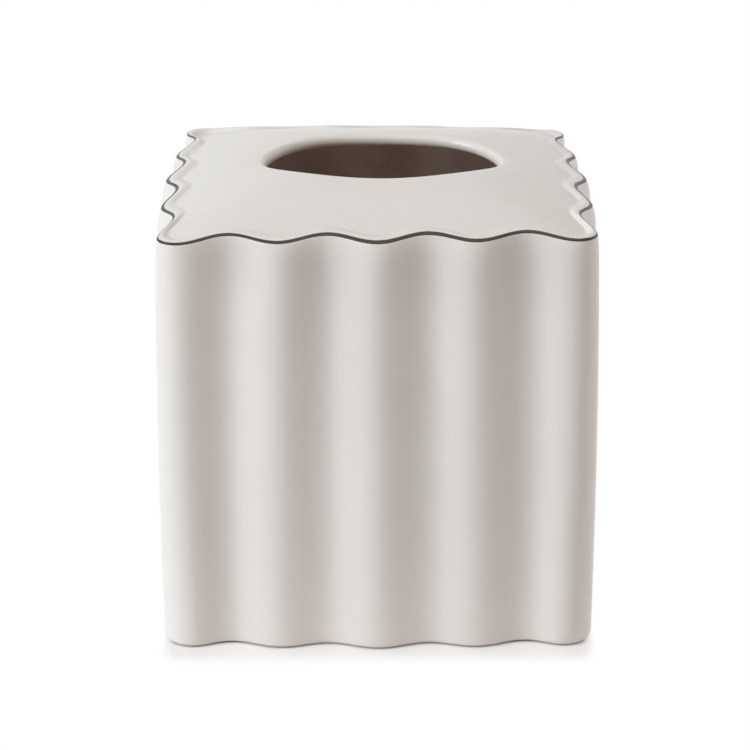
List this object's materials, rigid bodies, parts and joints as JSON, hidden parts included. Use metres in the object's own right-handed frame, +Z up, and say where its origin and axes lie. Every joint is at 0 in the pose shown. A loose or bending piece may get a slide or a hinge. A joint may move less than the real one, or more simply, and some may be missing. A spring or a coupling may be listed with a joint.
{
  "type": "tissue box cover",
  "caption": "Open-bottomed square cover with soft flutes that stands over a cube tissue carton, with a low domed top, an oval dispensing hole and a dark line round the rim.",
  "frame": {"origin": "on the table, under the middle of the cover", "axes": "+Z up, -Y to the front, +X to the right as seen from the front"},
  "size_m": [0.146, 0.146, 0.1478],
  "materials": {
    "wall_glaze": "soft gloss, warm white",
    "top_glaze": "soft gloss, warm white",
    "line_glaze": "hand-painted charcoal line, fired on"
  },
  "bodies": {
    "root": {"fluted_wall": "wall_glaze", "top_panel": "top_glaze", "rim_line": "line_glaze"}
  },
  "joints": []
}
